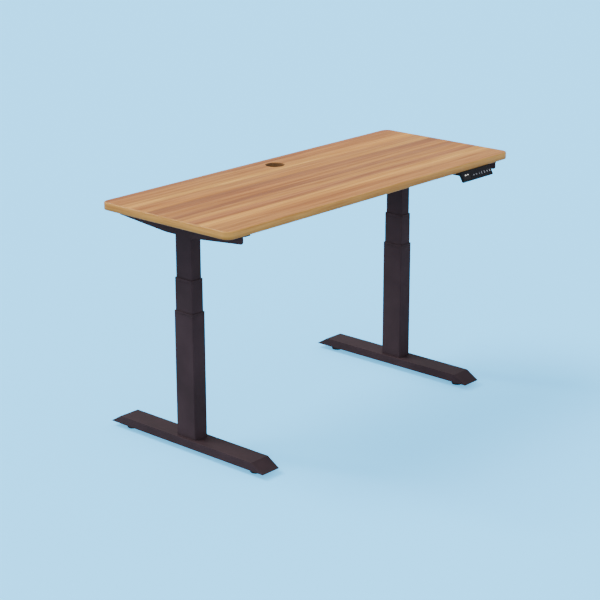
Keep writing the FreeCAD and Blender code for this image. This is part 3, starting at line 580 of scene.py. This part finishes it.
def screw(bm, low, high, outwards, shank, head_tall, recess, flush=False):
    """One screw in its CAD solid's box. Its head looks `outwards`, flat-topped with a
    rounded rim, or a cone where it is `flush`; `recess` is the outline of its socket."""
    outwards = Vector(outwards)
    axis = max(range(3), key=lambda i: abs(outwards[i]))
    ends = (low + high) / 2
    ends[axis] = high[axis] if outwards[axis] > 0 else low[axis]
    long = (high - low)[axis]
    wide = min((high - low)[i] for i in range(3) if i != axis) / 2
    rim = 0.35 * head_tall
    head = [(wide, -head_tall), (wide, -rim), (wide - 0.3 * rim, -0.3 * rim), (wide - rim, 0)]
    if flush:
        head = [(shank, -head_tall), (wide, 0)]
    profile = [(shank - 0.15 * shank, -long), (shank, -long + 0.3 * shank), (shank, -head_tall)] + head
    loops = [(circle(radius), z) for radius, z in profile]
    loops += [(recess, 0), (recess, -0.6 * head_tall)]
    skin(bm, loops, 0, facing(ends, outwards))


def screw_group(node, body, material, outwards, shank, head_tall, recess, flush=None):
    """All the screws of one CAD node; `outwards` gives each one's direction from its box,
    and `flush` says which of them are countersunk."""
    bm = bmesh.new()
    for low, high in solids_of(node):
        sunk = flush is not None and flush(low, high)
        screw(bm, low, high, outwards(low, high), shank * MM, head_tall * MM, recess, sunk)
    new_piece(node + "_set", bm, body, "zinc_steel", material, replaces=[node])


def all_screws(zinc):
    leg_low, leg_high = corners("left_column_outer")
    leg_y = (leg_low.y + leg_high.y) / 2
    head_end = corners("right_head")[1].x

    def down(low, high):
        return (0, 0, -1)

    def in_web(low, high):
        return abs(low.x + high.x) / 2 > head_end

    def frame_bolt_way(low, high):
        middle = (low + high) / 2
        if in_web(low, high):
            return (math.copysign(1, middle.x), 0, 0)
        return (0, math.copysign(1, leg_y - middle.y), 0)

    for side, _ in SIDES:
        screw_group(side + "_foot_bolts", side + "_base", zinc, down, 4, 4, hexagon(5 * MM))
    screw_group("frame_bolts", "desk_top", zinc, frame_bolt_way, 3, 3, hexagon(4 * MM), in_web)
    screw_group("desktop_screws", "desk_top", zinc, down, 2, 2.5, cross(5.4 * MM))
    screw_group("control_box_screws", "desk_top", zinc, down, 2, 2.5, cross(5.4 * MM))
    screw_group("handset_screws", "desk_top", zinc, down, 2, 2.5, cross(5.4 * MM))


# Drives and control box -------------------------------------------------------------

RIBS = 20               # around a motor's rear cap


def motor(side, sign, coat, zinc):
    """A tube motor on its gearbox: end rings, a rear cap with a bearing boss, two through
    bolts and a ring of ribs that cool it."""
    node = side + "_motor"
    low, high = corners(node)
    middle = (low + high) / 2
    start = Vector((low.x if sign > 0 else high.x, middle.y, middle.z))
    at = facing(start, (sign, 0, 0))
    bm = bmesh.new()
    turned(bm, [(26.5, 0), (26.5, 3), (28, 4), (28, 12), (27.2, 12.6), (27.2, 14), (28, 14.6), (28, 78),
                (27.2, 78.6), (27.2, 80), (28, 80.6), (28, 94), (27.2, 95.6), (25, 96), (25, 105),
                (23.2, 107), (10, 107), (9.4, 108), (6, 108), (5.6, 106.4)], 0, at)
    for turn in (0, math.pi):
        spot = Matrix.Rotation(turn + math.pi / 4, 4, "Z") @ Matrix.Translation((18 * MM, 0, 0))
        turned(bm, [(3.4, 106), (3.4, 107.4), (2.8, 107.9), (1.6, 107.9), (1.6, 107.2)], 1, at @ spot, FINE)
    for i in range(RIBS):
        spot = Matrix.Rotation(2 * math.pi * i / RIBS, 4, "Z") @ Matrix.Translation((25 * MM, 0, 0))
        outline = rounded_loop(1.8 * MM, 2.4 * MM, 0.4 * MM, 2)
        skin(bm, [(outline, 97 * MM), (outline, 104 * MM)], 0, at @ spot)
    new_piece(node + "_case", bm, "desk_top", "drive_coat", coat, zinc, replaces=[node])


BOARD_LEG = 8.2 * MM    # from the foot of the board's legs to where its sockets begin


def box_ribs(material):
    """Cooling ribs across the control box's underside, clear of its edges."""
    low, high = corners("control_box_case")
    bm = bmesh.new()
    count, rib_wide, rib_tall, sunk = 9, 2.4 * MM, 1.4 * MM, 0.3 * MM
    first, spread, share = 0.18, 0.64, 0.62
    long = (high.y - low.y) * share
    for i in range(count):
        x = low.x + (high.x - low.x) * (first + spread * i / (count - 1))
        loops = [(rounded_loop(rib_wide * 0.7, long - 1.2 * MM, 0.6 * MM, 3), -rib_tall),
                 (rounded_loop(rib_wide, long, 0.9 * MM, 3), -0.5 * rib_tall),
                 (rounded_loop(rib_wide, long, 0.9 * MM, 3), sunk)]
        skin(bm, loops, 0, Matrix.Translation((x, (low.y + high.y) / 2, low.z)))
    new_piece("control_box_ribs", bm, "desk_top", "black_plastic", material)


# Handset ----------------------------------------------------------------------------

BUTTONS = ("up", "down", "one", "two", "three", "four", "memory")
HAND_TOP_DROP, HAND_FACE_DROP, HAND_NOSE_TOP = 2.5 * MM, 31 * MM, 3 * MM
HAND_LEFT = corners("handset_shell")[0].x
FACE_RUN = TOP_LOW.y - HAND_NOSE_TOP - corners("handset_shell")[0].y
FACE_DROP = HAND_FACE_DROP - HAND_TOP_DROP
FACE_TALL = math.hypot(FACE_RUN, FACE_DROP)


def on_face(along, up=FACE_TALL / 2, out=0.0):
    """A place on the handset's leaning face: X to its right end, Y up it, Z out of it."""
    lean = math.atan2(FACE_RUN, FACE_DROP)
    right = Vector((1, 0, 0))
    rise = Vector((0, math.sin(lean), math.cos(lean)))
    outwards = right.cross(rise)
    foot = Vector((HAND_LEFT, corners("handset_shell")[0].y, TOP_LOW.z - HAND_FACE_DROP))
    spot = foot + right * along + rise * up + outwards * out
    return Matrix.Translation(spot) @ Matrix((right, rise, outwards)).transposed().to_4x4()


BUTTON_FIRST, BUTTON_PITCH = 61.5 * MM, 15 * MM
BUTTON_WIDE, BUTTON_TALL, BUTTON_PROUD, BUTTON_SEAT = 10.5 * MM, 12 * MM, 0.9 * MM, 1.8 * MM


def button_along(i):
    return BUTTON_FIRST + BUTTON_PITCH * i


def button(i, name, material):
    """A key cap with round corners, a soft rim and a shallow dish."""
    corner, proud = 1.6 * MM, BUTTON_PROUD
    profile = [(0, -BUTTON_SEAT), (0, proud - 0.5 * MM), (0.15 * MM, proud - 0.15 * MM),
               (0.5 * MM, proud), (1.1 * MM, proud - 0.12 * MM)]
    loops = [(rounded_loop(BUTTON_WIDE - 2 * inset, BUTTON_TALL - 2 * inset, corner - inset), z)
             for inset, z in profile]
    bm = bmesh.new()
    skin(bm, loops, 0, on_face(button_along(i)))
    node = "handset_button_" + name
    new_piece("key_" + name, bm, node, "button_black", material, replaces=[node])


INLAY = 0.12 * MM       # half of a printed mark's thickness
ICON = 3.2 * MM         # half of an icon's height


def stroke(bm, start, end, wide, at):
    """A bar with pointed ends, one segment of a digit or a line of an icon."""
    start, end = Vector(start), Vector(end)
    along = (end - start).normalized() * wide / 2
    side = Vector((-along.y, along.x))
    points = [start - along * 0.6, start + side, end + side, end + along * 0.6, end - side, start - side]
    outline = [tuple(point) for point in points]
    skin(bm, [(outline, -INLAY), (outline, INLAY)], 0, at)


SEGMENTS = {
    "a": ((-1, 2), (1, 2)), "b": ((1, 2), (1, 0)), "c": ((1, 0), (1, -2)), "d": ((-1, -2), (1, -2)),
    "e": ((-1, 0), (-1, -2)), "f": ((-1, 2), (-1, 0)), "g": ((-1, 0), (1, 0)),
}
LIT = {"0": "abcdef", "1": "bc", "2": "abged", "3": "abgcd", "4": "fgbc", "7": "abc", "8": "abcdefg"}


def digit(bm, which, half, wide, at):
    """A digit of straight segments, `half` of its height tall either way."""
    for letter in LIT[which]:
        start, end = (Vector(p) * half / 2 for p in SEGMENTS[letter])
        gap = (end - start).normalized() * wide * 0.55
        stroke(bm, start + gap, end - gap, wide, at)


def arrow(bm, sign, at):
    """Two strokes that meet in a tip, above where `sign` is 1."""
    tip, wide = 0.55 * ICON * sign, 0.8 * MM
    stroke(bm, (-0.85 * ICON, -tip), (0, tip), wide, at)
    stroke(bm, (0, tip), (0.85 * ICON, -tip), wide, at)


def book(bm, at):
    """The store key's sign: a tag with a notch below."""
    outline = ((-0.55, 0.9), (-0.55, -0.9), (0, -0.35), (0.55, -0.9), (0.55, 0.9))
    points = [Vector(p) * ICON for p in outline]
    for start, end in zip(points, points[1:] + points[:1]):
        stroke(bm, start, end, 0.7 * MM, at)


def key_icon(i, name, ink):
    """The printed mark on a key cap, which moves with it."""
    bm = bmesh.new()
    at = on_face(button_along(i), out=BUTTON_PROUD - 0.06 * MM)
    if name in ("up", "down"):
        arrow(bm, 1 if name == "up" else -1, at)
    elif name == "memory":
        book(bm, at)
    else:
        digit(bm, str(BUTTONS.index(name) - 1), ICON, 0.8 * MM, at)
    new_piece("icon_" + name, bm, "handset_button_" + name, "button_black", ink)


DISPLAY_ALONG, DIGIT_HALF, DIGIT_PITCH = 27 * MM, 7 * MM, 12 * MM
WINDOW_SINK = 0.75 * MM


def display_digits(text, lit):
    """The lit height, in segments that lie on the window."""
    bm = bmesh.new()
    for place, which in enumerate(text):
        along = DISPLAY_ALONG + (place - (len(text) - 1) / 2) * DIGIT_PITCH
        digit(bm, which, DIGIT_HALF, 2.1 * MM, on_face(along, out=-WINDOW_SINK))
    new_piece("display_digits", bm, "desk_top", "display_glass", lit)


# Stage and light --------------------------------------------------------------------

BACKDROP = (0.38, 1.82, 3.15)       # what the camera sees past the desk, in linear light
STUDIO = (0.93, 0.93, 1.0)          # what lights the desk
SHADED_SHARE = 0.65                 # share of the floor's brightness that shadows can take


def seen_or_lit(tree, seen, lit, socket):
    """The camera sees one shader of the stage, and the desk is lit by the other."""
    mix = tree.nodes.new("ShaderNodeMixShader")
    path = tree.nodes.new("ShaderNodeLightPath")
    tree.links.new(path.outputs["Is Camera Ray"], mix.inputs["Fac"])
    tree.links.new(lit, mix.inputs[1])
    tree.links.new(seen, mix.inputs[2])
    tree.links.new(mix.outputs["Shader"], socket)


def stage():
    """A large pale floor, lit so evenly that it runs into the backdrop."""
    nodes = Nodes("pale_floor")
    tree = nodes.tree
    tree.nodes.remove(nodes.shader)
    full_light = 1.75       # what an unshaded floor receives from the world and the suns
    glow = nodes.node("Emission", Color=(*BACKDROP, 1), Strength=1 - SHADED_SHARE).outputs["Emission"]
    tint = tuple(level * SHADED_SHARE / full_light for level in BACKDROP)
    matt = nodes.node("BsdfDiffuse", Color=(*tint, 1)).outputs["BSDF"]
    both = tree.nodes.new("ShaderNodeAddShader")
    tree.links.new(glow, both.inputs[0])
    tree.links.new(matt, both.inputs[1])
    plain = nodes.node("BsdfDiffuse", Color=(0.5, 0.62, 0.74, 1)).outputs["BSDF"]
    seen_or_lit(tree, both.outputs["Shader"], plain, tree.nodes["Material Output"].inputs["Surface"])
    half = 60
    mesh = bpy.data.meshes.new("floor")
    mesh.from_pydata([(-half, -half, 0), (half, -half, 0), (half, half, 0), (-half, half, 0)], [],
                     [(0, 1, 2, 3)])
    mesh.materials.append(nodes.material)
    floor = bpy.data.objects.new("floor", mesh)
    bpy.context.scene.collection.objects.link(floor)


def sun(name, direction, power, spread, colour):
    data = bpy.data.lights.new(name, "SUN")
    data.energy = power
    data.angle = math.radians(spread)
    data.color = colour
    light = bpy.data.objects.new(name, data)
    light.rotation_euler = Vector(direction).to_track_quat("Z", "Y").to_euler()
    bpy.context.scene.collection.objects.link(light)


def lights():
    world = bpy.data.worlds.new("pale_studio")
    world.use_nodes = True
    tree = world.node_tree
    lit = tree.nodes["Background"]
    lit.inputs["Color"].default_value = (*STUDIO, 1)
    lit.inputs["Strength"].default_value = 0.95
    seen = tree.nodes.new("ShaderNodeBackground")
    seen.inputs["Color"].default_value = (*BACKDROP, 1)
    seen_or_lit(tree, seen.outputs["Background"], lit.outputs["Background"],
                tree.nodes["World Output"].inputs["Surface"])
    bpy.context.scene.world = world
    sun("key", (-0.55, 0.75, 1.4), 2.6, 28, (1.0, 0.97, 0.93))
    sun("rim", (-0.3, 0.7, 0.66), 0.7, 8, (1.0, 0.95, 0.88))
    sun("fill", (-0.75, -0.65, 0.1), 1.6, 80, (0.8, 0.9, 1.0))


# The whole desk ---------------------------------------------------------------------

add_camera()
stage()
lights()

COAT = coated("powder_coat", (55, 44, 48), 0.58)
DRIVE = coated("drive_coat", (36, 36, 40), 0.36, 2200, 0.06)
ZINC = metal("zinc_plate", (178, 178, 176), 0.34)
ROLLED = metal("rolled_screw", (150, 150, 154), 0.28, thread=4 * MM)
ACETAL = moulded("natural_acetal", (226, 220, 200), 0.4)
PLASTIC = moulded("black_plastic", (40, 38, 42), 0.5)
GUIDE = moulded("collar_plastic", (52, 41, 45), 0.55, gloss=0.08)
HANDSET = moulded("handset_black", (24, 26, 30), 0.4, 3200, 0.05, 0.08)
KEYS = moulded("button_black", (32, 34, 38), 0.5, 3600, 0.05, 0.1)
# The key ink glows faintly: painted light, as printed ink gives no light of its own.
INK = printed("key_ink", (205, 208, 214), 0.15)
LIT_SEGMENTS = printed("lit_segments", (240, 236, 228), 1.2)

for part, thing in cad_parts.items():
    paint(part, COAT)
for side, sign in SIDES:
    for part in ("_base_post", "_middle_yoke"):
        paint(side + part, ZINC)
    for part in ("_lower_nut", "_upper_nut"):
        paint(side + part, ACETAL)
    for part in ("_hollow_screw", "_inner_screw"):
        paint(side + part, ROLLED)
    paint(side + "_gearbox", DRIVE)
    collar(side, "outer", side + "_base", GUIDE)
    collar(side, "middle", side + "_middle", GUIDE)
    motor(side, -sign, DRIVE, ZINC)
    for end in ("front", "rear"):
        glide(side, end, PLASTIC, ZINC)

desktop(wood_top(), wood_band(), hole_wood())
all_screws(ZINC)

for part in ("control_box_case", "control_box_lid"):
    paint(part, PLASTIC)
board_top = corners("control_board")[0].z + BOARD_LEG
paint("control_board", circuit_board(board_top))
box_ribs(PLASTIC)

for part in ("handset_shell", "handset_face"):
    paint(part, HANDSET)
paint("handset_display", window_glass())
display_digits("82", LIT_SEGMENTS)
for i, name in enumerate(BUTTONS):
    button(i, name, KEYS)
    key_icon(i, name, INK)
